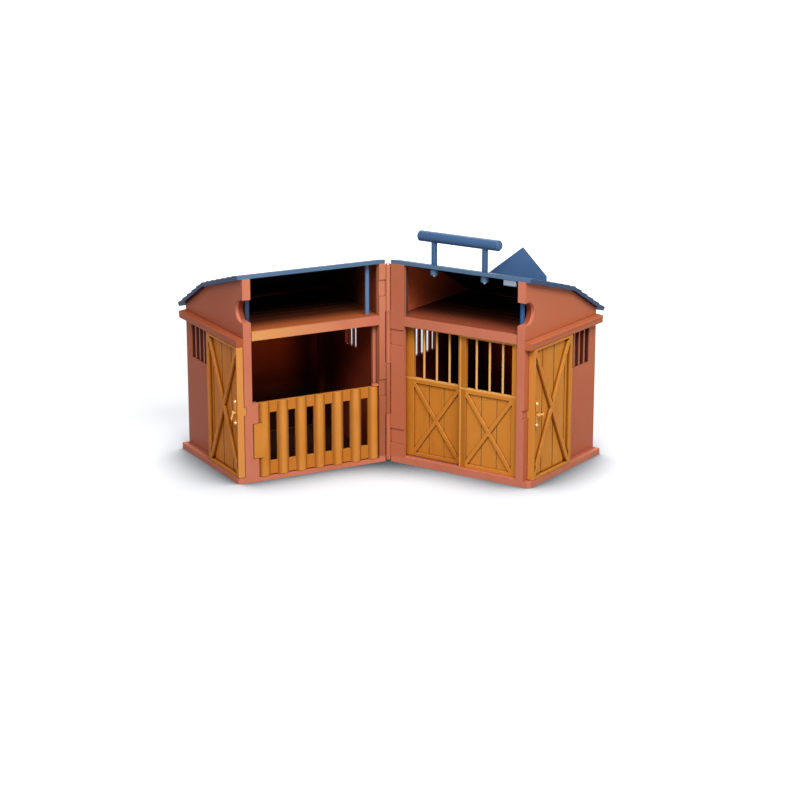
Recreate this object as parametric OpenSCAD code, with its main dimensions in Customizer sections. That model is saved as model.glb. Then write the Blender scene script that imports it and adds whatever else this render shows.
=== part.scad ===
// Folding carry-along toy barn: two open-fronted halves on one upright hinge, drawn as it stands open.
// Each half is drawn once, in a half frame: u runs along the open front away from the hinge,
// v runs back from the open front, z is up. half() turns and mirrors it into the whole barn's frame.

/* [Body] */
// angle between the two open fronts as the barn stands, degrees
open_angle = 117.5; // [100:0.5:150]
// hinge axis to the outer face of the outer gable wall
half_len = 170; // [150:1:190]
// open front to the outer face of the back wall
half_depth = 150; // [130:1:170]
// thickness of the moulded walls
wall_t = 4; // [3:0.5:5]
// thickness of the floor slab and plinth
plinth_h = 6.5; // [5:0.5:8]
// overhang of the plinth past the outer gable
plinth_out = 8; // [6:0.5:9]
// overhang of the plinth past the back wall
plinth_back = 1.5; // [0:0.5:3]
// width of the front pillar of the outer gable wall
pillar_w = 9.3; // [8:0.1:12]
// width of the front pillar on the left hinge wall
left_post_w = 7.1; // [6:0.1:9]
// width of the front pillar on the right hinge wall
right_post_w = 16.6; // [14:0.2:18]

/* [Roof] */
// underside of the roof at the ridge
ridge_z = 219.8; // [205:0.2:230]
// underside of the roof at the knee, where the slope changes
knee_z = 194.2; // [185:0.2:200]
// distance of the knee behind the open front
knee_v = 93; // [80:1:100]
// fall of the lower slope, for each millimetre back
lower_fall = 0.537; // [0.4:0.001:0.7]
// thickness of the roof shell
roof_t = 4.1; // [3.5:0.1:6]
// height of a shingle butt
shingle_step = 1.3; // [0.8:0.1:2]
// overhang of the roof past the outer gable
rake_out = 5.5; // [4:0.5:7]
// overhang of the eave past the back wall
eave_out = 9.5; // [6:0.5:12]
// number of shingle courses on the upper slope
upper_courses = 7; // [5:1:9]
// number of shingle courses on the lower slope
lower_courses = 5; // [4:1:7]
// width of one shingle
shingle_w = 17; // [12:0.5:24]

/* [Loft] */
// underside of the front lip of the loft
lip_z0 = 153.3; // [145:0.1:156]
// top of the loft floor and its lip
lip_z1 = 162.9; // [158:0.1:166]
// thickness of the lip, front to back
lip_t = 4.4; // [3:0.1:6]
// radius of the round end of the loft opening in the gable
loft_hole_r = 12.2; // [10:0.2:16]
// height of the centre of that opening
loft_hole_z = 185.2; // [180:0.1:192]
// distance from the open front to the centre of its round end
loft_hole_v = 6; // [4:0.5:8]
// depth of the thick jamb behind the opening
jamb_v1 = 21.5; // [21:0.5:30]
// radius of the round roof posts
roof_post_r = 2.4; // [2:0.1:3]

/* [Openings] */
// bottom of the barred windows
window_z0 = 107; // [100:1:112]
// top of the barred windows
window_z1 = 145; // [138:1:147]
// width of a window bar
bar_w = 3; // [2:0.2:4]
// number of slots in each window
window_slots = 4; // [3:1:5]
// front edge of the doorway in the outer gable
doorway_v0 = 10; // [9:1:12]
// back edge of the doorway
doorway_v1 = 68; // [60:1:70]
// top of the doorway
doorway_z1 = 141; // [130:1:143]

/* [Gable doors] */
// width of a gable door
door_w = 78; // [72:0.5:80]
// thickness of a gable door
door_t = 7.3; // [6:0.1:7.5]
// how far the right door stands slid back
right_door_open = 8; // [0:0.5:70]
// width of the strips of the X brace on a gable door
door_strip = 4.6; // [3:0.1:7]
// depth of the sunk panel in a gable door
door_sunk = 3.2; // [1.5:0.1:4]
// turn of the left latch lever below level
left_lever_turn = 61; // [0:1:90]
// turn of the right latch lever below level
right_lever_turn = 8; // [0:1:90]

/* [Stall gate] */
// end of the gate by the hinge
gate_u0 = 12.4; // [11:0.1:14]
// free end of the gate
gate_u1 = 152.8; // [148:0.1:155]
// bottom of the gate
gate_z0 = 4.5; // [4:0.1:6]
// top of the gate
gate_z1 = 85.3; // [80:0.1:90]
// number of half-round slats
gate_slats = 7; // [5:1:9]
// width of a slat
slat_w = 13.2; // [12:0.2:16]

/* [Stall doors] */
// spacing of the bars and stiles of a stall door
stall_pitch = 16.1; // [14:0.1:18]
// width of a stile
stall_stile = 7.6; // [6:0.1:9]
// thickness of a stall door
stall_t = 4.2; // [3:0.1:5]
// underside of the middle rail
stall_mid_z = 89.8; // [80:0.1:95]
// centre of the first stile of the rear door
rear_u = 22; // [20:0.1:24]
// centre of the first stile of the front door
front_u = 91.4; // [90:0.1:92]

/* [Hinge and handle] */
// radius of the hinge barrels
barrel_r = 2.5; // [2.3:0.1:3.2]
// radius of the hinge pin
pin_r = 1.2; // [1:0.1:1.5]
// radius of the carry handle
handle_r = 5.7; // [4.5:0.1:6]
// height of the handle's centre line
handle_z = 252.5; // [245:0.5:262]
// ends of the handle bar, measured from the hinge
handle_u0 = 35.4; // [30:0.2:40]
handle_u1 = 135.2; // [130:0.2:145]
// distance of the handle behind the open front
handle_v = 6.6; // [6.4:0.1:8]

/* [Hidden] */
$fn = 96;
eps = 0.01;
fold = (180 - open_angle) / 2;
front_gap = 0.25;
side_gap = 3.4;
run_gap = 0.05;
slide_gap = 0.3;
inner_u0 = side_gap + wall_t;
inner_u1 = half_len - wall_t;
inner_v1 = half_depth - wall_t;
out_u = half_len + plinth_out;
out_v = half_depth + plinth_back;
eave_v = half_depth + eave_out;
deck_z0 = lip_z1 - 4;
window_v1 = 136;
slot_w = 7.75;
function window_len(n, bar = bar_w) = n * slot_w + (n - 1) * bar;
// windows of the hinge walls: front edge, bottom, number of slots and width of a bar
hinge_window = [60.2, 114, 3, 2];
hinge_window_right = [42, window_z0 + 2.5, window_slots, bar_w];
knuckles = [[167.2, 218.4], [54.2, 109.8]];
knuckles_right = [[110.2, 166.8], [2.2, 53.8]];
door_u0 = half_len + 0.5;
door_u1 = door_u0 + door_t;
door_z0 = plinth_h + 0.6;
door_z1 = 148.2;
cornice_z0 = 148.6;
nub_z0 = 74;
nub_z1 = 82.6;
nub_reach = 2.5;
tongue_u = half_len + 1.7;
tongue_t = 1.4;
head_reach = 3;
foot_reach = 2.6;
latch_v = 4;
latch_z = 78.6;
hub_r = 2.1;
lever_top = 3.7;
front_track = 5.2;
rear_track = 10.6;
stall_foot_t = 1.4;
stall_bar_r = 1.2;
rear_extra = 3.2;
cheek_w = 6.5;
handle_post_r = 3.2;
sill_z = plinth_h + 1.2;
stall_z0 = sill_z + 0.3;
stall_z1 = 157.6;
gate_axis = [15, 3.5];
gate_back = 6;
corner_post = 6;
post_v = 12;
outer_post_u = half_len - pillar_w - 1.3;
cupola_v = 33;

// The object's box, from its extreme points: the left latch lever's hub and the eave's back corner.
y_low = -(door_u1 + lever_top) * sin(fold) + (latch_v - hub_r) * cos(fold);
y_high = eave_v * cos(fold) - side_gap * sin(fold);

salmon = [0.79, 0.47, 0.37];
tan_brown = [0.80, 0.54, 0.23];
slate_blue = [0.27, 0.40, 0.57];
brass = [0.85, 0.62, 0.28];
steel = [0.72, 0.73, 0.75];
pale_blue = [0.56, 0.62, 0.70];

// Underside of the gambrel roof at a distance v behind the open front.
function under(v) =
  v <= knee_v ? ridge_z - v * (ridge_z - knee_z) / knee_v : knee_z - (v - knee_v) * lower_fall;

// Top of one shingle course: it rises from the shell to a butt at its lower edge.
function course_top(v, lift) = [v, under(v) + roof_t + lift];
function courses(v0, v1, n) =
  [for (i = [0:n - 1], end = [0:1])
    let (v = v0 + (v1 - v0) * (i + end) / n)
    course_top(v, end * shingle_step)];

// Outline of the shingled roof, seen along the ridge, as [v, z] points.
function roof_outline() = concat(
  [[front_gap, under(front_gap)]],
  courses(front_gap, knee_v + 1.5, upper_courses),
  courses(knee_v + 1.5, eave_v, lower_courses),
  [[eave_v - 3, under(eave_v - 3)], [knee_v, knee_z]]
);

// Outline of a gable wall, seen along the ridge.
function gable_outline(v0, v1) = concat(
  [[v1, plinth_h], [v0, plinth_h], [v0, under(v0)]],
  v0 < knee_v && v1 > knee_v ? [[knee_v, knee_z]] : [],
  [[v1, under(v1)]]
);

// Section of the cornice: distance out from the wall, then height. A flat soffit over the door, a flat face,
// a rounded nose and a slightly weathered top.
function cornice_section() = concat(
  [[0, cornice_z0], [7.2, cornice_z0], [7.6, cornice_z0 + 0.5], [7.6, cornice_z0 + 3.4]],
  [for (t = [-50:20:90]) [6.7 + 1.4 * cos(t), cornice_z0 + 6.1 + 1.8 * sin(t)]],
  [[0, 157.3]]
);

module half(side) {
  translate([0, -(y_low + y_high) / 2, 0])
    if (side == "left") rotate([0, 0, fold]) mirror([1, 0, 0]) children();
    else rotate([0, 0, -fold]) children();
}

// Extrudes an outline of [v, z] points along u.
module along_u(u0, u1) {
  translate([u0, 0, 0]) rotate([90, 0, 90]) linear_extrude(u1 - u0) children();
}

// Extrudes an outline of [u, z] points along v.
module along_v(v0, v1) {
  translate([0, v1, 0]) rotate([90, 0, 0]) linear_extrude(v1 - v0) children();
}

module block(from, to) {
  translate(from) cube(to - from);
}

module rod(u, v, z0, z1, r) {
  translate([u, v, z0]) cylinder(h = z1 - z0, r = r);
}

// Places of the base screws in a half.
function screw_places(side) = [
  [half_len - pillar_w / 2, 4.2],
  [inner_u1 - corner_post / 2, inner_v1 - corner_post / 2],
  [side == "left" ? 7 : 13, side == "left" ? 3.6 : 2.95],
  [inner_u0 + corner_post / 2, inner_v1 - corner_post / 2]
];

// Floor slab with its overhanging plinth.
module base(side) {
  front_r = 3.6;
  back_r = 1.2;
  difference() {
    union() {
      linear_extrude(plinth_h) {
        translate([side_gap, front_gap]) square([out_u - side_gap - front_r, out_v - front_gap]);
        translate([out_u - front_r - eps, front_gap + front_r])
          square([front_r + eps, out_v - front_gap - front_r - back_r]);
        translate([out_u - front_r - eps, out_v - 2 * back_r]) square([front_r + eps - back_r, 2 * back_r]);
        translate([out_u - front_r, front_gap + front_r]) circle(front_r);
        translate([out_u - back_r, out_v - back_r]) circle(back_r);
      }
      // raised sill with the tracks of the sliding stall doors
      if (side == "right") {
        block([side_gap + right_post_w + 0.2, front_gap, plinth_h - eps], [half_len - pillar_w - 0.2, 5, sill_z]);
        block([inner_u0 + 0.2, 4.8, plinth_h - eps], [half_len - pillar_w - 0.2, 16.5, sill_z]);
      }
    }
    // plank joints in the stall floor
    for (u = [22:14:162])
      block([u - 0.4, 17, plinth_h - 0.6], [u + 0.4, inner_v1 - corner_post - 1, plinth_h + 1]);
    // slot for the foot of the sliding gable door
    block(
      [tongue_u - tongue_t / 2 - slide_gap, 1.4, door_z0 - foot_reach - 0.6],
      [tongue_u + tongue_t / 2 + slide_gap, out_v - 1.5, plinth_h + 1]
    );
    for (p = screw_places(side)) {
      rod(p[0], p[1], -1, 10, 1.4);
      rod(p[0], p[1], -1, 2.2, 2.4);
    }
    if (side == "left") {
      // step for the gate, and its lower pivot hole
      block([side_gap + left_post_w + 0.2, 0, gate_z0 - 0.5], [half_len - pillar_w - cheek_w - 0.2, 7.7, plinth_h + 1]);
      rod(gate_axis[0], gate_axis[1], 1.9, plinth_h, pin_r + run_gap);
    } else {
      for (v = [front_track, rear_track])
        block(
          [14, v + (stall_t - stall_foot_t) / 2 - slide_gap, plinth_h - 2.2],
          [half_len - pillar_w - 0.6, v + (stall_t + stall_foot_t) / 2 + slide_gap, sill_z + 1]
        );
    }
  }
}

// Slots of a barred window in a wall that stands at u0 to u1. The bars stand back from the outer face.
module barred_window(u0, u1, outer_u, v0, z0, n, bar = bar_w) {
  for (i = [0:n - 1]) {
    v = v0 + i * (slot_w + bar);
    block([u0 - 1, v, z0], [u1 + 1, v + slot_w, window_z1]);
  }
  block([outer_u - 1, v0, z0], [outer_u + 1, v0 + window_len(n, bar), window_z1]);
}

// The cornice along the outer gable, with the slot that guides the head of the sliding door.
module gable_cornice() {
  difference() {
    along_v(front_gap, out_v) translate([half_len, 0]) polygon(cornice_section());
    block(
      [tongue_u - tongue_t / 2 - slide_gap, 1.4, cornice_z0 - 1],
      [tongue_u + tongue_t / 2 + slide_gap, out_v - 1.5, door_z1 + head_reach + 0.6]
    );
  }
}

module outer_gable(side) {
  inner = half_len - pillar_w;
  difference() {
    union() {
      along_u(inner_u1, half_len) polygon(gable_outline(front_gap, half_depth));
      along_u(inner, inner_u1 + eps) {
        polygon(gable_outline(front_gap, 8));
        // thick jamb behind the loft opening
        intersection() {
          polygon(gable_outline(front_gap, jamb_v1));
          translate([front_gap, lip_z1 + 0.05]) square([jamb_v1, ridge_z]);
        }
      }
      gable_cornice();
      // post inside the back corner, up to the loft
      block([inner_u1 - corner_post, inner_v1 - corner_post, plinth_h], [inner_u1 + eps, inner_v1, deck_z0]);
      // cheek beside the stall gate
      if (side == "left") block([inner - cheek_w, front_gap, plinth_h], [inner + eps, 8, gate_z1 + 0.6]);
    }
    // loft opening: straight jambs from the open front to a half-round end
    along_u(inner - 10, half_len + 10)
      translate([loft_hole_v, loft_hole_z]) {
        circle(loft_hole_r);
        translate([-loft_hole_v - 5, -loft_hole_r]) square([loft_hole_v + 5, 2 * loft_hole_r]);
      }
    // groove in which the outer roof post stands
    rod(outer_post_u, post_v, lip_z1 - 1, ridge_z + 5, roof_post_r + run_gap);
    rod(outer_post_u, post_v, lip_z1 - 1, lip_z1 + 1.4 + run_gap, roof_post_r + 1.2 + run_gap);
    barred_window(inner_u1, half_len, half_len, window_v1 - window_len(window_slots), window_z0, window_slots);
    block([inner_u1 - 1, doorway_v0, plinth_h - 1], [half_len + 1, doorway_v1, doorway_z1]);
    // groove for the nub of the sliding door, round-ended at the pillar
    block([half_len - nub_reach + 0.2, -1, nub_z0 - 0.4], [half_len + 1, 4 + door_w, nub_z1 + 0.4]);
    for (i = [0:1]) {
      p = screw_places(side)[i];
      rod(p[0], p[1], plinth_h - 1, 14, 1.25);
    }
    if (side == "left") block([inner - cheek_w - 1, -1, 25.4], [inner - 0.2, 3.6, 63.9]);
  }
}

// One barrel of the hinge with the web that joins it to its wall.
module knuckle(z) {
  rod(0, 0, z[0], z[1], barrel_r);
  block([0, front_gap, max(z[0], plinth_h)], [side_gap + 1, barrel_r, z[1]]);
}

module hinge_wall(side) {
  left = side == "left";
  post_w = left ? left_post_w : right_post_w;
  post_v = left ? 7 : 4.6;
  z_list = left ? knuckles : knuckles_right;
  window = left ? hinge_window : hinge_window_right;
  difference() {
    union() {
      along_u(side_gap, inner_u0) polygon(gable_outline(front_gap, half_depth));
      along_u(side_gap, side_gap + post_w) polygon(gable_outline(front_gap, post_v));
      for (z = z_list) knuckle(z);
      block([inner_u0 - eps, inner_v1 - corner_post, plinth_h], [inner_u0 + corner_post, inner_v1, deck_z0]);
      if (left) {
        block([inner_u0 - eps, 8, plinth_h], [14.4, 12.5, deck_z0]);
        // lug that carries the gate's upper pivot
        block([side_gap + post_w - eps, 0.6, gate_z1 + 0.5], [gate_axis[0], 6.4, gate_z1 + 2.5]);
        rod(gate_axis[0], gate_axis[1], gate_z1 + 0.5, gate_z1 + 2.5, 2.9);
      }
    }
    barred_window(side_gap, inner_u0, side_gap, window[0], window[1], window[2], window[3]);
    for (z = z_list) rod(0, 0, z[0] - 1, z[1] + 1, pin_r + run_gap);
    // shallow pockets beside the barrels
    for (z = left ? [[184, 202], [74, 92.5]] : [[131, 148.5], [21.5, 38]])
      block([barrel_r, -1, z[0]], [side_gap + post_w + 1, front_gap + 1.1, z[1]]);
    for (i = [2:3]) {
      p = screw_places(side)[i];
      rod(p[0], p[1], plinth_h - 1, 14, 1.25);
    }
    if (left) rod(gate_axis[0], gate_axis[1], gate_z1, gate_z1 + 4, pin_r + run_gap);
  }
}

// Plain back wall between the two gable walls.
module back_wall() {
  along_u(inner_u0, inner_u1) polygon([
    [inner_v1, plinth_h], [half_depth, plinth_h],
    [half_depth, under(half_depth)], [inner_v1, under(inner_v1)]
  ]);
}

// Loft floor with its deep front lip, fitted between the pillars.
module loft(side) {
  left = side == "left";
  post_v = left ? 7.1 : 4.7;
  u0 = side_gap + (left ? left_post_w : right_post_w) + 0.1;
  u1 = half_len - pillar_w - 0.8;
  deck_u0 = inner_u0 + 0.1;
  deck_u1 = inner_u1 - 0.1;
  deck_v1 = inner_v1 - 0.1;
  block([u0, front_gap, lip_z0], [u1, lip_t, lip_z1]);
  difference() {
    translate([0, 0, deck_z0]) linear_extrude(lip_z1 - deck_z0) polygon([
      [u0, front_gap], [u1, front_gap], [u1, 8.1], [deck_u1, 8.1], [deck_u1, deck_v1],
      [deck_u0, deck_v1], [deck_u0, post_v], [u0, post_v]
    ]);
    // joints between the loft planks
    for (v = [22:14:134]) block([deck_u0 + 1, v - 0.4, lip_z1 - 0.6], [deck_u1 - 1, v + 0.4, lip_z1 + 1]);
  }
  // guides for the heads of the sliding stall doors
  if (!left)
    for (v = [front_track, rear_track])
      block([u0, v + stall_t + 0.3, lip_z0], [u1, v + stall_t + 0.9, deck_z0 + eps]);
}

// Joints between the shingles of every second course, as thin slices across the roof.
function course_ends(v0, v1, n) = [for (i = [0:n - 1]) [v0 + (v1 - v0) * i / n, v0 + (v1 - v0) * (i + 1) / n]];
function all_courses() = concat(
  course_ends(front_gap, knee_v + 1.5, upper_courses),
  course_ends(knee_v + 1.5, eave_v, lower_courses)
);
module shingle_joints(phase) {
  list = all_courses();
  first = side_gap + shingle_w * (phase == 0 ? 0.5 : 1);
  for (u = [first:shingle_w:half_len + rake_out - 3])
    along_u(u, u + 0.9)
      for (i = [phase:2:len(list) - 1]) {
        top = list[i][0] + (list[i][1] - list[i][0]) * 0.35;
        low = list[i][1];
        lift = shingle_step * 0.35;
        polygon([
          course_top(top, lift + 3), course_top(top, lift - 0.05),
          course_top(low + 0.02, 0.05), course_top(low + 0.02, shingle_step + 3)
        ]);
      }
}

module roof(side) {
  difference() {
    union() {
      along_u(side_gap, half_len + rake_out) polygon(roof_outline());
      if (side == "right")
        for (u = handle_posts()) rod(u, handle_v, 212.6, under(handle_v) + 1, handle_post_r + 1);
    }
    for (phase = [0, 1]) shingle_joints(phase);
    if (side == "right")
      for (u = handle_posts()) {
        rod(u, handle_v, 215.2, 230, handle_post_r + run_gap);
        rod(u, handle_v, 210, 230, 1.5);
      }
  }
}

function handle_posts() = [54.3, 116.7];

// Round posts between the loft floor and the slope of the roof.
module roof_posts(side) {
  intersection() {
    union() for (u = [side == "left" ? 19 : 15, outer_post_u]) {
      rod(u, post_v, lip_z1, ridge_z, roof_post_r);
      rod(u, post_v, lip_z1, lip_z1 + 1.4, roof_post_r + 1.2);
    }
    along_u(0, half_len) polygon([[0, lip_z1], [0, ridge_z], [knee_v, knee_z], [knee_v, lip_z1]]);
  }
}

// A strip of the given width between two points of a panel, drawn in [v, z].
module strip(a, b, w) {
  translate(a) rotate(atan2(b[1] - a[1], b[0] - a[0]))
    translate([-w, -w / 2]) square([norm(b - a) + 2 * w, w]);
}

// X brace that fills a rectangle and is trimmed to it.
module brace(v0, z0, v1, z1, w) {
  intersection() {
    union() {
      strip([v0, z0], [v1, z1], w);
      strip([v0, z1], [v1, z0], w);
    }
    translate([v0, z0]) square([v1 - v0, z1 - z0]);
  }
}

module gable_door(side) {
  shift = side == "left" ? 0 : right_door_open;
  v0 = front_gap + 0.2;
  v1 = v0 + door_w;
  // rims around the sunk panel: front, foot, back, head
  rim = [2, 3, 5, 2];
  planks = [20.5, 44, 67];
  translate([0, shift, 0]) difference() {
    union() {
      along_u(door_u0, door_u1 - door_sunk) translate([v0, door_z0]) square([door_w, door_z1 - door_z0]);
      along_u(door_u0 + 1, door_u1) {
        difference() {
          translate([v0, door_z0]) square([door_w, door_z1 - door_z0]);
          translate([v0 + rim[0], door_z0 + rim[1]])
            square([door_w - rim[0] - rim[2], door_z1 - door_z0 - rim[1] - rim[3]]);
        }
        brace(v0 + rim[0] - eps, door_z0 + rim[1] - eps, v1 - rim[2] + eps, door_z1 - rim[3] + eps, door_strip);
        // flat that carries the latch
        translate([v0, latch_z - 15]) square([7.5, 30]);
      }
      // foot and head tongues that run in the plinth and the cornice
      block(
        [tongue_u - tongue_t / 2, v0 + 1.6, door_z0 - foot_reach],
        [tongue_u + tongue_t / 2, v1 - 2, door_z0 + 1]
      );
      block(
        [tongue_u - tongue_t / 2, v0 + 1.6, door_z1 - 1],
        [tongue_u + tongue_t / 2, v1 - 2, door_z1 + head_reach]
      );
      // guide nub on the inner face, at the front edge
      block([half_len - nub_reach + 0.6, v0, nub_z0], [door_u0 + eps, v0 + 3.4, nub_z1]);
    }
    // plank joints in the sunk panel
    for (x = planks)
      block(
        [door_u1 - door_sunk - 0.9, v0 + x - 0.6, door_z0 + rim[1]],
        [door_u1 - door_sunk + eps, v0 + x + 0.6, door_z1 - rim[3]]
      );
    // hole for the pivot of the latch lever
    translate([door_u1 - 3, latch_v, latch_z]) rotate([0, 90, 0]) cylinder(h = 5, r = 1 + run_gap);
  }
}

// Brass backplate with a slotted screw at each end.
module latch_plate(side) {
  shift = side == "left" ? 0 : right_door_open;
  plate_t = 0.8;
  translate([door_u1, latch_v + shift, latch_z]) difference() {
    union() {
      rotate([0, 90, 0]) linear_extrude(plate_t) {
        square([23, 3.6], center = true);
        for (x = [-11.5, 11.5]) translate([x, 0]) circle(2.2);
      }
      for (z = [-11.5, 11.5])
        translate([plate_t - eps, 0, z]) rotate([0, 90, 0]) cylinder(h = 0.7, r1 = 1.7, r2 = 1.2);
    }
    for (z = [-11.5, 11.5]) block([plate_t + 0.3, -2, z - 0.25], [plate_t + 2, 2, z + 0.25]);
    translate([-1, 0, 0]) rotate([0, 90, 0]) cylinder(h = 4, r = 1 + run_gap);
  }
}

// Thumb lever that turns flat against the backplate.
module latch_lever(side) {
  shift = side == "left" ? 0 : right_door_open;
  turn = side == "left" ? left_lever_turn : right_lever_turn;
  arm_t = 1.5;
  translate([door_u1, latch_v + shift, latch_z]) rotate([-turn, 0, 0]) {
    translate([-2.6, 0, 0]) rotate([0, 90, 0]) cylinder(h = 4, r = 1);
    translate([1.1, 0, 0]) rotate([0, 90, 0]) cylinder(h = 2, r = hub_r);
    translate([lever_top - arm_t, 0, 0]) rotate([0, 90, 0]) linear_extrude(arm_t) {
      circle(hub_r);
      translate([-1, 0]) square([2, 8]);
      translate([0, 8.6]) circle(1.7);
    }
  }
}

module stall_gate_shape() {
  first = gate_u0 + 4;
  pitch = (gate_u1 - 0.2 - slat_w / 2 - first) / (gate_slats - 1);
  crest = 3.7;
  r = (pow(slat_w / 2, 2) + crest * crest) / (2 * crest);
  face = front_gap + 0.15;
  difference() {
    union() {
      block([gate_u0, face + crest - 0.4, gate_z0 + 0.8], [gate_u1, gate_back, gate_z1]);
      // half-round slats, the end ones cut to the gate's length
      translate([0, 0, gate_z0]) linear_extrude(gate_z1 - gate_z0) intersection() {
        union() for (i = [0:gate_slats - 1])
          translate([first + i * pitch, face + r]) intersection() {
            circle(r);
            translate([-slat_w / 2, -r]) square([slat_w, gate_back - face]);
          }
        translate([gate_u0, face - 1]) square([gate_u1 - gate_u0, 20]);
      }
      // latch tab that drops into the cheek
      block([gate_u1 - 6, face, 26], [gate_u1 + 6.6, face + 2.8, 63.3]);
      rod(gate_axis[0], gate_axis[1], gate_z0 - 2, gate_z1 + 2.6, pin_r);
    }
    for (i = [0:gate_slats - 2])
      block(
        [first + i * pitch + slat_w / 2, -1, 20],
        [first + (i + 1) * pitch - slat_w / 2, 10, 73.3]
      );
  }
}

// Stall door: planks with an X brace below, three round bars above. The first stile is wider by extra.
module stall_door(u, v, extra) {
  w = 4 * stall_pitch + stall_stile;
  u0 = u - stall_stile / 2;
  foot_rail = 3.8;
  mid_rail = 5.4;
  top_rail = 7.8;
  mid_z1 = stall_mid_z + mid_rail;
  sunk = 1.8;
  difference() {
    union() {
      along_v(v + sunk, v + stall_t) translate([u0, stall_z0]) square([w, mid_z1 - stall_z0]);
      along_v(v, v + stall_t) {
        translate([u0 - extra, stall_z0]) square([stall_stile + extra, stall_z1 - stall_z0]);
        translate([u0 + w - stall_stile, stall_z0]) square([stall_stile, stall_z1 - stall_z0]);
        translate([u0, stall_z0]) square([w, foot_rail]);
        translate([u0, stall_mid_z]) square([w, mid_rail]);
        translate([u0, stall_z1 - top_rail]) square([w, top_rail]);
        brace(u0 + stall_stile, stall_z0 + foot_rail, u0 + w - stall_stile, stall_mid_z, 4.2);
      }
      for (i = [1:3])
        rod(u + i * stall_pitch, v + stall_t / 2, mid_z1 - 1, stall_z1 - top_rail + 1, stall_bar_r);
      block(
        [u0 + 1, v + (stall_t - stall_foot_t) / 2, stall_z0 - 2],
        [u0 + w - 1, v + (stall_t + stall_foot_t) / 2, stall_z0 + eps]
      );
    }
    for (i = [1:2]) {
      x = u0 + stall_stile + (w - 2 * stall_stile) * i / 3;
      block([x - 0.5, v - 1, stall_z0 + foot_rail], [x + 0.5, v + sunk + 0.7, stall_mid_z]);
    }
  }
}

module carry_handle_shape() {
  chamfer = 1.5;
  difference() {
    union() {
      translate([handle_u0 + chamfer, handle_v, handle_z]) rotate([0, 90, 0]) {
        cylinder(h = handle_u1 - handle_u0 - 2 * chamfer, r = handle_r);
        translate([0, 0, -chamfer]) cylinder(h = chamfer, r1 = handle_r - chamfer, r2 = handle_r);
        translate([0, 0, handle_u1 - handle_u0 - 2 * chamfer])
          cylinder(h = chamfer, r1 = handle_r, r2 = handle_r - chamfer);
      }
      for (u = handle_posts()) rod(u, handle_v, 215.2, handle_z, handle_post_r);
    }
    for (u = handle_posts()) rod(u, handle_v, 214, 226, 1.3 + run_gap);
  }
}

module handle_screw(u) {
  rod(u, handle_v, 212.6 - eps, 225, 1.3);
  difference() {
    translate([u, handle_v, 212.6]) rotate([180, 0, 0]) cylinder(h = 1.8, r1 = 2.5, r2 = 1.7);
    block([u - 3, handle_v - 0.3, 210], [u + 3, handle_v + 0.3, 211.6]);
  }
}

// Half-space under a plane through the origin that falls by the given slopes along u and v.
module under_plane(fall_u, fall_v) {
  tilt = atan(norm([fall_u, fall_v]));
  rotate([0, 0, atan2(fall_v, fall_u)]) rotate([0, tilt, 0]) translate([-80, -80, -160]) cube(160);
}

// Half-pyramid cupola: its front is an upright triangle, its two backs fall away to the shingles.
module cupola_shape() {
  peak = [146.5, 248.4];
  foot_z = 200;
  reach = 40;
  back_fall = 1.25;
  end_u = half_len + rake_out;
  difference() {
    intersection() {
      // its outer end is cut off square at the front, and slants in behind
      translate([0, 0, foot_z]) linear_extrude(peak[1] + 1 - foot_z) polygon([
        [80, cupola_v], [end_u, cupola_v], [end_u - 0.75 * reach, cupola_v + reach], [80, cupola_v + reach]
      ]);
      translate([peak[0], cupola_v, peak[1]]) under_plane(0.945, back_fall);
      translate([peak[0], cupola_v, peak[1]]) under_plane(-0.775, back_fall);
    }
    along_u(50, 190) polygon(concat(roof_outline(), [[60, 150], [front_gap, 150]]));
  }
}

module roof_catch_shape() {
  intersection() {
    union() {
      block([143, 0.8, 213.4], [157.6, 2.6, ridge_z]);
      block([143, 2.4, 214.6], [157.6, 5.4, ridge_z]);
      block([143, 0.5, 214.2], [157.6, 2.6, 215]);
    }
    along_u(140, 160) polygon([[0, 205], [0, ridge_z], [knee_v, knee_z], [knee_v, 190]]);
  }
}

module base_screws(side) {
  for (p = screw_places(side)) {
    rod(p[0], p[1], 0.9, 13, 1.2);
    difference() {
      rod(p[0], p[1], 0.6, 2.2, 2.2);
      for (a = [0, 90]) translate([p[0], p[1], 0]) rotate([0, 0, a]) block([-1.6, -0.3, 0], [1.6, 0.3, 1.2]);
    }
  }
}

module base_left() { color(salmon) half("left") base("left"); }
module base_right() { color(salmon) half("right") base("right"); }
module outer_gable_left() { color(salmon) half("left") outer_gable("left"); }
module outer_gable_right() { color(salmon) half("right") outer_gable("right"); }
module hinge_wall_left() { color(salmon) half("left") hinge_wall("left"); }
module hinge_wall_right() { color(salmon) half("right") hinge_wall("right"); }
module back_wall_left() { color(salmon) half("left") back_wall(); }
module back_wall_right() { color(salmon) half("right") back_wall(); }
module loft_left() { color(salmon) half("left") loft("left"); }
module loft_right() { color(salmon) half("right") loft("right"); }
module roof_left() { color(slate_blue) half("left") roof("left"); }
module roof_right() { color(slate_blue) half("right") roof("right"); }
module roof_posts_left() { color(slate_blue) half("left") roof_posts("left"); }
module roof_posts_right() { color(slate_blue) half("right") roof_posts("right"); }
module gable_door_left() { color(tan_brown) half("left") gable_door("left"); }
module gable_door_right() { color(tan_brown) half("right") gable_door("right"); }
module latch_plate_left() { color(brass) half("left") latch_plate("left"); }
module latch_plate_right() { color(brass) half("right") latch_plate("right"); }
module latch_lever_left() { color(brass) half("left") latch_lever("left"); }
module latch_lever_right() { color(brass) half("right") latch_lever("right"); }
module stall_gate() { color(tan_brown) half("left") stall_gate_shape(); }
module stall_door_front() { color(tan_brown) half("right") stall_door(front_u, front_track, 0); }
module stall_door_rear() { color(tan_brown) half("right") stall_door(rear_u, rear_track, rear_extra); }
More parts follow.
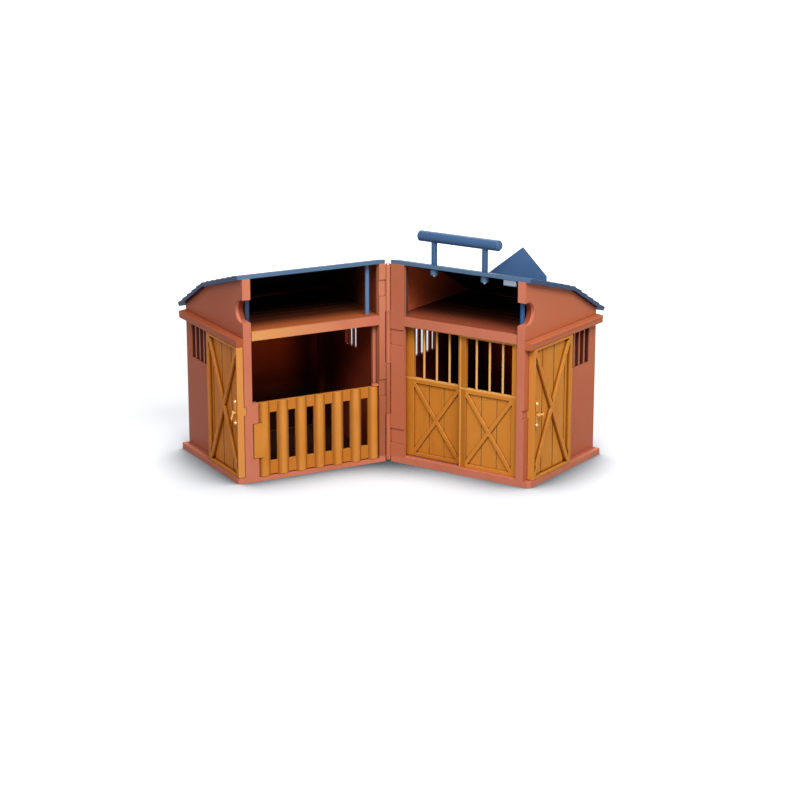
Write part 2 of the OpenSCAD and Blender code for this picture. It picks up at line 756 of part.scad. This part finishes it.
module hinge_pin() {
  color(steel) half("left") {
    rod(0, 0, 2.4, 218.6, pin_r);
    rod(0, 0, 218.4, 219.8, 2.2);
  }
}
module carry_handle() { color(slate_blue) half("right") carry_handle_shape(); }
module handle_screws() { color(steel) half("right") for (u = handle_posts()) handle_screw(u); }
module cupola() { color(slate_blue) half("right") cupola_shape(); }
module roof_catch() { color(pale_blue) half("right") roof_catch_shape(); }
module base_screws_left() { color(steel) half("left") base_screws("left"); }
module base_screws_right() { color(steel) half("right") base_screws("right"); }

base_left();
base_right();
outer_gable_left();
outer_gable_right();
hinge_wall_left();
hinge_wall_right();
back_wall_left();
back_wall_right();
loft_left();
loft_right();
roof_left();
roof_right();
roof_posts_left();
roof_posts_right();
gable_door_left();
gable_door_right();
latch_plate_left();
latch_plate_right();
latch_lever_left();
latch_lever_right();
stall_gate();
stall_door_front();
stall_door_rear();
hinge_pin();
carry_handle();
handle_screws();
cupola();
roof_catch();
base_screws_left();
base_screws_right();
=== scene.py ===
"""Looks for the folding toy barn: camera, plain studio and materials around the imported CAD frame."""

import math

import bmesh
import bpy
from mathutils import Matrix, Vector


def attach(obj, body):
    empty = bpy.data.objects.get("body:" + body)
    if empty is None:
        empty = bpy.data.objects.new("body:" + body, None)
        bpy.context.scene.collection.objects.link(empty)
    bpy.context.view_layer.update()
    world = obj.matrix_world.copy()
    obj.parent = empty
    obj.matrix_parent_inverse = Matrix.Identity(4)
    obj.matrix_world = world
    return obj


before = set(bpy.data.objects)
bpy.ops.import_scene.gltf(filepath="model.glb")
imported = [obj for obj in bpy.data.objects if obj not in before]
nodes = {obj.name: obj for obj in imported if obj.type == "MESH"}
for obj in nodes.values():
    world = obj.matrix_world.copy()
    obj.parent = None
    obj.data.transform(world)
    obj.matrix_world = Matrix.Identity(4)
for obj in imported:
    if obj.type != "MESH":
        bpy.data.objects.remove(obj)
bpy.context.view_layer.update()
scene = bpy.context.scene
MM = 0.001

# The half frame of part.scad: u along the open front, v back from it. FOLD is each half's turn.
FOLD = math.radians(31.25)
HINGE_Y = -21.031 * MM

# Faces of each half, repeated from part.scad in millimetres: the room inside, the gable, the cornice, the rake
# board, the loft's deck and lip, and a plane between the two roof posts
INNER_U = (7.2, 166.2)
BACK_V = 146.3
GABLE_U = 169.6
CORNICE_U = 170.3
RAKE_U = 175.2
DECK_Z = 163.2
LIP_V = 4.6
POST_SPLIT_U = 120

# Hinge: the heights that each half's own barrels span, and the ring and arc of the dark sheet beside each,
# whose dark colour is painted shade
KNUCKLES = {"left": ((167.2, 218.4), (54.2, 109.8)), "right": ((110.2, 166.8), (2.2, 53.8))}
SHADE_SHEET_IN, SHADE_SHEET_OUT = 2.3, 3.2
SHADE_SHEET_ARC = range(3, 103, 9)

# Latch screws: the door's face, and the backplate's middle and reach
LATCH_FACE_U = 178.5
LATCH_V = {"left": 4, "right": 12}
LATCH_Z = 78.6
LATCH_REACH = 11.5
SCREW_HEAD = ((0, 0.8), (0.5, 0.8), (0.6, 1.3), (0.9, 1.4), (1.3, 1.25), (1.65, 0.8), (1.85, 0.3), (1.85, 0))
SCREW_SIDES = 28

# X braces of the stall doors: their field, and the front face of each door
BRACE_Z = (11.8, 89.8)
BRACE_WIDTH = 4.2
BRACES = {"front": (95.2, 152.0, 5.2), "rear": (25.8, 82.6, 10.6)}
BRACE_DEPTH = 0.6
BRACE_PROUD = {"up": 0.15, "down": 0.12}

# Bars of the stall doors: a point one pitch before each door's first bar, the pitch, and the bars' ends
BARS_FROM = (22, 91.4)
BAR_PITCH = 16.1
BAR_Z = (95.6, 149.6)


def from_half(side, u, v, z):
    """A point of a half frame, in millimetres, as a point of the whole barn, in metres."""
    x = u * math.cos(FOLD) + v * math.sin(FOLD)
    y = v * math.cos(FOLD) - u * math.sin(FOLD)
    return Vector((-x if side == "left" else x, y, z)) * MM + Vector((0, HINGE_Y, 0))


def linear(code, alpha=1.0):
    """A colour written as RRGGBB, as Blender's linear numbers."""
    values = [int(code[i : i + 2], 16) / 255 for i in (0, 2, 4)]
    return [v / 12.92 if v <= 0.04045 else ((v + 0.055) / 1.055) ** 2.4 for v in values] + [alpha]


# Camera, from the fit of the model's corners to the photograph
CAM_TURN = math.radians(2.775)
CAM_PITCH = math.radians(15.772)
CAM_ROLL = math.radians(-0.027)
CAM_PLACE = Vector((12.658, -2251.77, 704.69))
CAM_FOCUS = 2167.2
PHOTO_WIDTH = 800
SENSOR = 36


def add_camera():
    """The camera, placed by its turn, pitch and roll about the hinge's foot."""
    turn = Matrix.Rotation(CAM_TURN, 3, "Z")
    right = turn @ Vector((1, 0, 0))
    up = turn @ Vector((0, math.sin(CAM_PITCH), math.cos(CAM_PITCH)))
    forward = turn @ Vector((0, math.cos(CAM_PITCH), -math.sin(CAM_PITCH)))
    x = right * math.cos(CAM_ROLL) + up * math.sin(CAM_ROLL)
    y = up * math.cos(CAM_ROLL) - right * math.sin(CAM_ROLL)
    cam = bpy.data.objects.new("camera", bpy.data.cameras.new("camera"))
    scene.collection.objects.link(cam)
    place = turn @ CAM_PLACE * MM + Vector((0, HINGE_Y, 0))
    cam.matrix_world = Matrix.Translation(place) @ Matrix((x, y, -forward)).transposed().to_4x4()
    cam.data.sensor_fit = "HORIZONTAL"
    cam.data.sensor_width = SENSOR
    cam.data.lens = CAM_FOCUS / PHOTO_WIDTH * SENSOR
    cam.data.clip_start = 0.05
    cam.data.clip_end = 50
    scene.camera = cam


add_camera()
scene.view_settings.view_transform = "Standard"


class Tree:
    """Short calls for building the node tree of a material or a world."""

    def __init__(self, owner, output="OutputMaterial"):
        owner.use_nodes = True
        self.owner = owner
        self.nodes = owner.node_tree.nodes
        self.links = owner.node_tree.links
        self.nodes.clear()
        self.out = self.nodes.new("ShaderNode" + output)

    def feed(self, socket, value):
        """Links or sets a socket, as the value is a socket or a number."""
        if isinstance(value, bpy.types.NodeSocket):
            self.links.new(value, socket)
        else:
            socket.default_value = value

    def add(self, kind, inputs=(), **settings):
        node = self.nodes.new("ShaderNode" + kind)
        for key, value in settings.items():
            setattr(node, key, value)
        for key, value in dict(inputs).items():
            self.feed(node.inputs[key], value)
        return node

    def surface(self, shader):
        self.links.new(shader.outputs[0], self.out.inputs["Surface"])

    def math(self, operation, a, b=0.0):
        return self.add("Math", {0: a, 1: b}, operation=operation).outputs[0]

    def vector_math(self, operation, a, b=(0, 0, 0)):
        return self.add("VectorMath", {0: a, 1: b}, operation=operation).outputs[0]

    def length(self, a):
        return self.add("VectorMath", {0: a}, operation="LENGTH").outputs["Value"]

    def dot(self, a, b):
        return self.add("VectorMath", {0: a, 1: b}, operation="DOT_PRODUCT").outputs["Value"]

    def product(self, *values):
        result = values[0]
        for value in values[1:]:
            result = self.math("MULTIPLY", result, value)
        return result

    def ramp(self, value, low, high):
        """0 below low, 1 above high, smooth between; low may be the larger one."""
        node = self.add("MapRange", {"Value": value, "From Min": low, "From Max": high},
                        interpolation_type="SMOOTHSTEP")
        return node.outputs["Result"]

    def between(self, value, low, high):
        """A number from low to high as the value goes from 0 to 1."""
        return self.add("MapRange", {"Value": value, "To Min": low, "To Max": high}).outputs["Result"]

    def mix(self, factor, a, b, blend="MIX"):
        node = self.add("Mix", data_type="RGBA", blend_type=blend)
        for socket, value in ((node.inputs[0], factor), (node.inputs[6], a), (node.inputs[7], b)):
            self.feed(socket, value)
        return node.outputs[2]

    def noise(self, vector, scale, detail=2.0, roughness=0.5):
        settings = {"Vector": vector, "Scale": scale, "Detail": detail, "Roughness": roughness}
        return self.add("TexNoise", settings).outputs["Fac"]

    def seen(self):
        """1 for rays of the eye, of reflections and of clear parts, 0 for rays that carry light."""
        path = self.add("LightPath").outputs
        mirrored = self.math("MAXIMUM", path["Is Glossy Ray"], path["Is Transmission Ray"])
        return self.math("MAXIMUM", path["Is Camera Ray"], mirrored)


def half_vector(tree, side):
    """Object coordinates turned into the half frame's u, v, z, in metres."""
    coordinates = tree.add("TexCoord").outputs["Object"]
    moved = tree.vector_math("ADD", coordinates, (0, -HINGE_Y, 0))
    angle = -FOLD if side == "left" else FOLD
    turned = tree.add("VectorRotate", {"Vector": moved, "Angle": angle}, rotation_type="Z_AXIS").outputs[0]
    return tree.vector_math("MULTIPLY", turned, (-1, 1, 1)) if side == "left" else turned


def edge_mask(tree, radius):
    """1 on convex and concave edges, 0 on flats, from how far a rounded normal leans from the true one."""
    rounded = tree.add("Bevel", {"Radius": radius}, samples=4).outputs[0]
    true = tree.add("NewGeometry").outputs["Normal"]
    return tree.ramp(tree.dot(rounded, true), 0.995, 0.86)


def zone_mask(tree, axes, zone):
    """1 inside a box of the half frame, given as axis: (low, high, softness) in millimetres. The axis "down" is
    how far a face looks down, from -1 to 1."""
    parts = []
    for axis, (low, high, soft) in zone.items():
        value = axes[axis]
        if low is not None:
            parts.append(tree.ramp(value, (low - soft) * MM, (low + soft) * MM))
        if high is not None:
            parts.append(tree.ramp(value, (high + soft) * MM, (high - soft) * MM))
    return tree.product(*parts)


# Moulded plastic: sizes of its noises, per metre, and of its edges, in millimetres; the first edge size is how far
# the painted highlight on edges reaches
MOTTLE, STREAK, FINE, BROAD = 22.0, 420.0, 2600.0, 160.0
EDGE_HIGHLIGHT, SOFT_EDGE = 0.6, 0.5
BUMP_STRENGTH, BUMP_DEPTH = 0.16, 0.25


def plastic(name, side, colour, shade, zones=(), rough=0.5, grain=0.0, crevice=0.0, crevice_colour="5A3010",
            crevice_reach=3.0, edge="FFFFFF", edge_amount=0.1, level=0.12, flank=0.0):
    """Moulded plastic: mottled colour, painted zones (most of them painted light and shade), fine texture, painted
    shade in crevices and painted highlights on edges. Flank paints shade on the sides that look along the half's
    front."""
    tree = Tree(bpy.data.materials.new(name))
    place = half_vector(tree, side)
    split = tree.add("SeparateXYZ", {"Vector": place}).outputs
    axes = {"u": split["X"], "v": split["Y"], "z": split["Z"]}
    normal = tree.add("TexCoord").outputs["Normal"]
    axes["down"] = tree.product(tree.add("SeparateXYZ", {"Vector": normal}).outputs["Z"], -MM)
    mottle = tree.noise(place, MOTTLE, 3.0)
    base = tree.mix(tree.ramp(mottle, 0.3, 0.75), linear(colour), linear(shade))
    height = tree.math("ADD", tree.product(tree.noise(place, FINE), 0.35), tree.noise(place, BROAD))
    if grain:
        streak = tree.noise(tree.vector_math("MULTIPLY", place, (1, 1, 0.05)), STREAK, 4.0, 0.6)
        base = tree.mix(tree.product(tree.ramp(streak, 0.42, 0.75), grain), base, linear(crevice_colour))
        height = tree.math("ADD", height, tree.product(streak, 1.6))
    for zone, zone_colour, amount in zones:
        base = tree.mix(tree.product(zone_mask(tree, axes, zone), amount), base, linear(zone_colour))
    # Painted shade on the sides that look along the half's front
    if flank:
        along = (from_half(side, 1, 0, 0) - from_half(side, 0, 0, 0)).normalized()
        lean = tree.ramp(tree.math("ABSOLUTE", tree.dot(normal, along)), 0.2, 0.8)
        base = tree.mix(tree.product(lean, flank), base, linear(crevice_colour))
    # Painted highlight on convex and concave edges
    base = tree.mix(tree.product(edge_mask(tree, EDGE_HIGHLIGHT * MM), edge_amount), base, linear(edge))
    # Painted shade in crevices, from ambient occlusion
    if crevice:
        corner = tree.add("AmbientOcclusion", {"Distance": crevice_reach * MM}, samples=8, only_local=True)
        depth = tree.ramp(corner.outputs["AO"], 0.9, 0.45)
        base = tree.mix(tree.product(depth, crevice), base, linear(crevice_colour))
    soft_normal = tree.add("Bevel", {"Radius": SOFT_EDGE * MM}, samples=4).outputs[0]
    bump = tree.add("Bump", {"Strength": BUMP_STRENGTH, "Distance": BUMP_DEPTH * MM, "Height": height,
                             "Normal": soft_normal})
    tree.surface(tree.add("BsdfPrincipled", {
        "Base Color": base, "Roughness": tree.between(mottle, rough - 0.05, rough + 0.08),
        "Normal": bump.outputs[0], "IOR": 1.46, "Specular IOR Level": level}))
    return tree.owner


def metal(name, colour, rough, edge="FFF3D6"):
    """Bright metal with painted highlights on its edges and a faint unevenness."""
    tree = Tree(bpy.data.materials.new(name))
    mottle = tree.noise(tree.add("TexCoord").outputs["Object"], 700.0, 3.0)
    # Painted highlight on edges
    base = tree.mix(tree.product(edge_mask(tree, 0.3 * MM), 0.3), linear(colour), linear(edge))
    bump = tree.add("Bump", {"Strength": 0.1, "Distance": 0.1 * MM, "Height": mottle}).outputs[0]
    tree.surface(tree.add("BsdfPrincipled", {
        "Base Color": base, "Metallic": 1.0, "Roughness": tree.between(mottle, rough - 0.06, rough + 0.1),
        "Normal": bump}))
    return tree.owner


# Painted zones, each as (box, colour, amount), most of them painted light and shade. Inside, painted shade makes
# the rooms red-brown just behind the open front and near black deep in the halves.
ROOM = {"u": (*INNER_U, 0.3), "v": (11, BACK_V, 6)}
ABOVE_DECK = {"z": (DECK_Z, None, 0.3)}
STALL = [(ROOM, "7E260B", 0.95), ({**ROOM, "v": (96, BACK_V, 34)}, "0C0402", 0.9)]
# Painted light and shade in the lofts: the right loft bright just behind the front, both darker deeper in
LOFT = {"left": [({**ROOM, **ABOVE_DECK}, "8A452E", 0.8),
                 ({**ROOM, **ABOVE_DECK, "v": (46, BACK_V, 26)}, "040202", 0.97)],
        "right": [({**ROOM, **ABOVE_DECK}, "DC6A3E", 0.95),
                  ({**ROOM, **ABOVE_DECK, "v": (120, BACK_V, 40)}, "6A2410", 0.9)]}
# Painted light and shade on the back wall's inner face: a bright deep orange for the red light thrown about inside,
# near black towards the hinge, low down and above the deck
BACK_FACE = {"u": (*INNER_U, 0.3), "v": (None, BACK_V, 0.3)}
BACK = [(BACK_FACE, "F25A1C", 0.97),
        ({**BACK_FACE, "u": (INNER_U[0], 44, 20)}, "0A0302", 0.9),
        ({**BACK_FACE, "z": (None, 74, 30)}, "0A0302", 0.97),
        ({**BACK_FACE, **ABOVE_DECK}, "040202", 0.97)]
# Painted shade on the stall floors
FLOOR = [({"u": (*INNER_U, 0.3), "v": (9, BACK_V, 3), "z": (5, None, 0.4)}, "140604", 0.95)]
# Painted shade in the window recess of the gable wall
RECESS = [({"u": (165.9, 168.9, 0.2), "v": (92, 137, 1), "z": (106, 146, 0.5)}, "4A1A10", 0.9)]
# Painted light and shade: the cornice face darker on the left half than on the right
CORNICE_FACE = {"u": (CORNICE_U, None, 0.2), "z": (147, 158, 0.5)}
CORNICE = {"left": [(CORNICE_FACE, "A25230", 0.9)], "right": [(CORNICE_FACE, "B2613E", 0.9)]}
# Painted light and shade on the gables' outer faces: the left gable darker than the right, both with another tone
# towards the foot
GABLE_FACE = {"u": (GABLE_U, None, 0.2)}
GABLE_FOOT = {**GABLE_FACE, "z": (None, 90, 60)}
OUTER = {"left": [(GABLE_FACE, "A85333", 0.95), (GABLE_FOOT, "A8604A", 0.6)],
         "right": [(GABLE_FACE, "BC6844", 0.95), (GABLE_FOOT, "AE5C42", 0.6)]}
# Painted light and shade on the hinge posts: tones that change with height, the left post darker low down
LEFT_POST = {"u": (None, 12, 0.5), "v": (None, 8, 1)}
RIGHT_POST = {"u": (None, 21, 0.5), "v": (None, 5, 1)}
POST = {"left": [(LEFT_POST, "BE7858", 0.7), ({**LEFT_POST, "z": (None, 120, 70)}, "9C5638", 0.9)],
        "right": [({**RIGHT_POST, "z": (150, None, 40)}, "AE6246", 0.8),
                  ({**RIGHT_POST, "z": (None, 130, 60)}, "B86644", 0.8)]}
# Painted shade on the loft decks, darker deeper in
ON_DECK = {"z": (158, None, 1)}
DECK = {"left": [({"v": (LIP_V, None, 0.3), **ON_DECK}, "A85426", 0.9),
                 ({"v": (26, None, 18), **ON_DECK}, "2A0E06", 0.9),
                 ({"v": (70, None, 30), **ON_DECK}, "080303", 0.95)],
        "right": [({"v": (LIP_V, None, 0.3), **ON_DECK}, "8A4026", 0.9),
                  ({"v": (34, None, 24), **ON_DECK}, "30120A", 0.9),
                  ({"v": (80, None, 30), **ON_DECK}, "0A0404", 0.95)]}
LIP_FACE = {"v": (None, 4, 0.5)}
LIP = {"left": [({"u": (100, None, 80), **LIP_FACE}, "D39556", 0.9)],
       "right": [({"u": (None, 80, 60), **LIP_FACE}, "BA6C50", 0.8)]}
# Painted shade under the loft deck and on the roof's underside
UNDER_LOFT = [({"v": (LIP_V, None, 0.4), "z": (None, 160, 0.5)}, "1C0804", 0.95)]
ROOF_UNDER = [({"down": (0.3, None, 0.1), "v": (1.5, None, 0.8)}, "0A0A0C", 0.96)]
# Painted shade: the roof's upward faces darker
SHADED_ROOF_TOPS = [({"down": (None, -0.5, 0.15)}, "3C5270", 0.85)]
# Painted shade on the rake boards' end faces, the left darker than the right
RAKE_FACE = {"u": (RAKE_U, None, 0.2)}
RAKE = {"left": [(RAKE_FACE, "162E54", 0.95)], "right": [(RAKE_FACE, "24395A", 0.9)]}
OUTER_POST = {"u": (POST_SPLIT_U, None, 1)}
POST_FLANGE = {"z": (None, 164.4, 0.1)}
# Painted highlights down the bars of the stall doors
BARS = [first + BAR_PITCH * i for first in BARS_FROM for i in (1, 2, 3)]
BAR_ZONES = [({"u": (u - 1.3, u + 1.3, 0.1), "z": (*BAR_Z, 0.3)}, "E4AE68", 0.8) for u in BARS]
# Painted light and shade on the front stall door: its face lighter than the rear door's, its stile shaded, a
# highlight on its front edge and along its top
FRONT_DOOR = [({"u": (95.2, None, 0.3)}, "CC8232", 0.7), ({"u": (89.4, 95.2, 0.2)}, "A4601A", 0.7),
              ({"u": (87, 89.4, 0.2)}, "E0A050", 0.8),
              ({"u": (87, None, 0.2), "z": (150.4, None, 0.2)}, "E8B468", 0.8)]
# Painted highlight along the top edge of the doors' mid rails
PANEL_TOP = [({"z": (93.9, 95.5, 0.2)}, "E6AC5E", 0.7)]

# Painted shade: the left gable door's colours are darker copies of the right's
DOOR_COLOURS = {"left": ("C97826", "BF701F"), "right": ("CE8530", "C67B28")}
# Painted light and shade on the gable doors' front edges: lit brighter on the left, shaded to the face's tone on the
# right
DOOR_EDGES = {"left": [({"v": (None, 0.8, 0.2)}, "D08A46", 0.9)],
              "right": [({"v": (None, 8.8, 0.2)}, "C98239", 0.9)]}

looks = {}
for side in ("left", "right"):
    # Walls: painted shade in crevices and a faint painted highlight on edges
    wall = dict(side=side, colour="C4745A", shade="BC6C52", edge="E8B8A0", crevice=0.6, crevice_colour="4A160C",
                crevice_reach=2.0)
    gable = STALL + LOFT["left"] + RECESS + OUTER[side] + CORNICE[side]
    looks["base", side] = plastic(f"plinth_{side}", **wall, zones=FLOOR)
    looks["outer_gable", side] = plastic(f"gable_{side}", **wall, zones=gable)
    looks["hinge_wall", side] = plastic(f"hinge_wall_{side}", **wall, zones=POST[side] + STALL + LOFT[side])
    looks["back_wall", side] = plastic(f"back_wall_{side}", **wall, zones=BACK)
    looks["loft", side] = plastic(f"loft_{side}", **wall, zones=LIP[side] + DECK[side] + UNDER_LOFT)
    # Gable doors: wood grain, with painted shade in crevices and painted highlights on edges
    looks["gable_door", side] = plastic(
        f"gable_door_{side}", side, *DOOR_COLOURS[side], zones=DOOR_EDGES[side], grain=0.14, crevice=0.95,
        crevice_colour="5A2404", crevice_reach=4.0, edge="F0C070", edge_amount=0.35)
    # Roofs: painted shade in crevices and painted highlights on edges
    looks["roof", side] = plastic(
        f"slate_{side}", side, "536E8B", "4B6683", zones=SHADED_ROOF_TOPS + ROOF_UNDER + RAKE[side], rough=0.45,
        crevice=0.4, crevice_colour="1C2836", edge="9DB2C8", edge_amount=0.35, level=0.15)
# Roof posts: painted shade makes the left pair's outer post near black and the right pair dark grey but for its outer
# post
looks["roof_posts", "left"] = plastic("posts_left", "left", "5A759C", "526D93", rough=0.45, level=0.3, zones=[
    (OUTER_POST, "1E2C44", 0.9), (POST_FLANGE, "8A4424", 0.95)])
looks["roof_posts", "right"] = plastic("posts_right", "right", "3A4248", "333B42", rough=0.45, level=0.3, zones=[
    (OUTER_POST, "2A5080", 0.95), (POST_FLANGE, "7A3620", 0.95)])
# Gate: wood grain, painted shade on its recessed rails, in crevices and on the slats' sides, and painted highlights
# on edges
looks["stall_gate", "left"] = plastic(
    "gate", "left", "CE873A", "C67D30", zones=[({"v": (3.2, None, 0.3)}, "B4691E", 0.7)], grain=0.16, crevice=0.85,
    crevice_colour="7A3E0C", edge="F0C070", edge_amount=0.3, flank=0.6)
# Stall doors: wood grain, painted shade in crevices and painted highlights on edges
stall_doors = plastic(
    "stall_doors", "right", "C67B2A", "BE7324", zones=FRONT_DOOR + PANEL_TOP + BAR_ZONES, grain=0.16, crevice=0.65,
    crevice_colour="5E2C06", crevice_reach=2.6, edge="F4C878", edge_amount=0.5)
looks["stall_door_front", "right"] = looks["stall_door_rear", "right"] = stall_doors
# These parts carry a faint painted highlight on their edges
looks["roof_catch", "right"] = plastic("catch_right", "right", "8C99AC", "8390A4")
looks["carry_handle", "right"] = plastic("handle", "right", "37587F", "315074", rough=0.38, edge="AFC2D8", level=0.35)
looks["cupola", "right"] = plastic("cupola", "right", "496891", "436188", rough=0.45, edge="9DB2C8", level=0.3)
# Painted shade: the near black colour of the sheets behind the hinge barrels
shade_sheet_look = plastic("hinge_shade_sheet", "left", "2C1A1E", "241418")
screw_brass = metal("screw_brass", "F2BE8C", 0.16)
brass = metal("brass", "E0A44A", 0.22)
plate = metal("plate", "C07E20", 0.38, "F0C060")
steel = metal("steel", "B8BABF", 0.3)
fittings = {"latch_lever": brass, "latch_plate": plate}

for name, obj in nodes.items():
    side = "left" if name.endswith("_left") or name == "stall_gate" else "right"
    stem = name.removesuffix("_left").removesuffix("_right")
    mat = looks.get((stem, side)) or fittings.get(stem, steel)
    obj.data.materials.clear()
    obj.data.materials.append(mat)


def piece(name, points, faces, mat, body):
    """A piece of the scene's own, in the barn's frame, that moves with a body."""
    mesh = bpy.data.meshes.new(name)
    mesh.from_pydata(points, [], faces)
    mesh.validate()
    mesh.materials.append(mat)
    obj = bpy.data.objects.new(name, mesh)
    scene.collection.objects.link(obj)
    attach(obj, body)
    return obj


def prism(outline, low, high, place):
    """Points and faces of an outline drawn counter-clockwise, swept from low to high by place(point, level)."""
    count = len(outline)
    points = [place(p, level) for level in (low, high) for p in outline]
    sides = [(i, (i + 1) % count, count + (i + 1) % count, count + i) for i in range(count)]
    return points, [tuple(reversed(range(count))), tuple(range(count, 2 * count))] + sides


def at_hinge(p, z):
    """A point about the hinge's axis, in millimetres, as a point of the whole barn, in metres."""
    return Vector((p[0] * MM, p[1] * MM + HINGE_Y, z * MM))


def hinge_shade_sheet(side, level, z0, z1):
    """A dark sheet behind a hinge barrel, which closes the slit beside it; its dark colour is painted shade."""
    arc = [math.radians(a) for a in SHADE_SHEET_ARC]
    ring = [(SHADE_SHEET_OUT * math.cos(a), SHADE_SHEET_OUT * math.sin(a)) for a in arc]
    ring += [(SHADE_SHEET_IN * math.cos(a), SHADE_SHEET_IN * math.sin(a)) for a in reversed(arc)]
    if side == "right":
        ring = [(-x, y) for x, y in reversed(ring)]
    points, faces = prism(ring, z0, z1, at_hinge)
    piece(f"hinge_shade_sheet_{side}_{level}", points, faces, shade_sheet_look, f"{side}_half")


def latch_screw(side, tag, rise):
    """A domed screw head with a round socket, at one end of a latch backplate."""
    points, faces = [], []
    count = len(SCREW_HEAD)
    for i in range(SCREW_SIDES):
        a = 2 * math.pi * i / SCREW_SIDES
        j = (i + 1) % SCREW_SIDES
        for k, (r, h) in enumerate(SCREW_HEAD):
            points.append(from_half(side, LATCH_FACE_U + h, LATCH_V[side] + r * math.cos(a),
                                    LATCH_Z + rise + r * math.sin(a)))
            if k:
                face = (i * count + k - 1, j * count + k - 1, j * count + k, i * count + k)
                faces.append(face if side == "right" else tuple(reversed(face)))
    head = piece(f"latch_screw_{side}_{tag}", points, faces, screw_brass, f"{side}_gable_door")
    weld = bmesh.new()
    weld.from_mesh(head.data)
    bmesh.ops.remove_doubles(weld, verts=weld.verts, dist=1e-6)
    bmesh.ops.recalc_face_normals(weld, faces=weld.faces)
    weld.to_mesh(head.data)
    weld.free()
    head.data.shade_smooth()


def brace_strips(door, u0, u1, v):
    """Face strips on the X brace of a stall door, which run over the plank joints."""
    z0, z1 = BRACE_Z
    angle = math.atan2(z1 - z0, u1 - u0)
    step_u = BRACE_WIDTH / 2 / math.sin(angle)
    step_z = BRACE_WIDTH / 2 / math.cos(angle)
    rising = [(u0, z0), (u0 + step_u, z0), (u1, z1 - step_z), (u1, z1), (u1 - step_u, z1), (u0, z0 + step_z)]
    falling = [(u0 + u1 - u, z) for u, z in reversed(rising)]
    for tag, outline in (("up", rising), ("down", falling)):
        points, faces = prism(outline, v + BRACE_DEPTH, v - BRACE_PROUD[tag],
                              lambda p, depth: from_half("right", p[0], depth, p[1]))
        strip = piece(f"stall_brace_{door}_{tag}", points, faces, stall_doors, f"{door}_stall_door")
        soften = strip.modifiers.new("soften", "BEVEL")
        soften.width = 0.3 * MM
        soften.segments = 2
        soften.limit_method = "ANGLE"


for side, ranges in KNUCKLES.items():
    for level, (low, high) in enumerate(ranges, 1):
        hinge_shade_sheet(side, level, low, high)
for side in ("left", "right"):
    latch_screw(side, "low", -LATCH_REACH)
    latch_screw(side, "high", LATCH_REACH)
for door, field in BRACES.items():
    brace_strips(door, *field)

# Floor: white for the eye, greyer for the light it throws back, with the object's cast shadow kept and a painted
# contact shadow and a painted soft shadow added. All in metres.
REACH = 6.0
FADE = (0.45, 1.0)
CONTACT_REACH = 0.085
SHADE_PLACE = (-0.02, 0.48, 0)
SHADE_RADIUS = 0.3
WHITE = linear("FFFFFF")


def add_floor():
    """A wide floor whose glow fades to plain white away from the barn."""
    mesh = bpy.data.meshes.new("floor")
    corners = [(-REACH, -REACH, 0), (REACH, -REACH, 0), (REACH, REACH, 0), (-REACH, REACH, 0)]
    mesh.from_pydata(corners, [], [(0, 1, 2, 3)])
    floor = bpy.data.objects.new("floor", mesh)
    scene.collection.objects.link(floor)
    tree = Tree(bpy.data.materials.new("floor"))
    seen = tree.seen()
    ground = tree.add("TexCoord").outputs["Object"]
    # Painted contact shadow: the floor darker close to the barn, from ambient occlusion
    near = tree.add("AmbientOcclusion", {"Distance": CONTACT_REACH}, samples=16).outputs["AO"]
    shadow = tree.mix(tree.ramp(near, 0.38, 1.0), linear("4C585E"), WHITE)
    # A painted soft shadow on the floor behind the barn, where its cast shadow ends
    behind = tree.vector_math("SUBTRACT", ground, SHADE_PLACE)
    behind = tree.length(tree.vector_math("MULTIPLY", behind, (1 / SHADE_RADIUS, 1 / SHADE_RADIUS, 1)))
    shaded = tree.mix(1.0, shadow, linear("D8D8DE"), "MULTIPLY")
    shadow = tree.mix(tree.ramp(behind, 1.0, 0.1), shadow, shaded)
    pale = tree.mix(tree.noise(ground, 3.0), linear("BEC1C6"), linear("C2C5CA"))
    pale = tree.mix(1.0, pale, shadow, "MULTIPLY")
    diffuse = tree.add("BsdfDiffuse", {"Color": tree.mix(seen, linear("A4A4A6"), pale)})
    strength = tree.math("ADD", 0.42, tree.product(tree.ramp(tree.length(ground), *FADE), 0.6))
    glow = tree.add("Emission", {"Color": shadow, "Strength": tree.product(seen, strength)})
    tree.surface(tree.add("AddShader", {0: diffuse.outputs[0], 1: glow.outputs[0]}))
    mesh.materials.append(tree.owner)


def add_world():
    """A dim even sky for the light, plain white for the eye and for reflections."""
    scene.world = bpy.data.worlds.new("world")
    tree = Tree(scene.world, "OutputWorld")
    light = tree.add("Background", {"Color": WHITE, "Strength": 0.2})
    white = tree.add("Background", {"Color": WHITE})
    tree.surface(tree.add("MixShader", {0: tree.seen(), 1: light.outputs[0], 2: white.outputs[0]}))


LAMP_DISTANCE = 2.3
LAMP_AIM = Vector((0, 0, 0.12))


def lamp(name, direction, size, level):
    """A square lamp; a level of 1 lights a surface that faces it so that its colour renders as written."""
    data = bpy.data.lights.new(name, "AREA")
    data.shape = "SQUARE"
    data.size = size
    data.energy = level * math.pi ** 2 * LAMP_DISTANCE ** 2
    obj = bpy.data.objects.new(name, data)
    scene.collection.objects.link(obj)
    toward = Vector(direction).normalized()
    obj.location = LAMP_AIM + toward * LAMP_DISTANCE
    obj.rotation_euler = (-toward).to_track_quat("-Z", "Y").to_euler()


add_floor()
add_world()
lamp("key", (0.33, -0.66, 0.675), 0.9, 0.78)
lamp("fill", (-0.13, -0.70, 0.70), 1.2, 0.58)
lamp("back", (0.1, 0.6, 0.79), 1.4, 0.5)
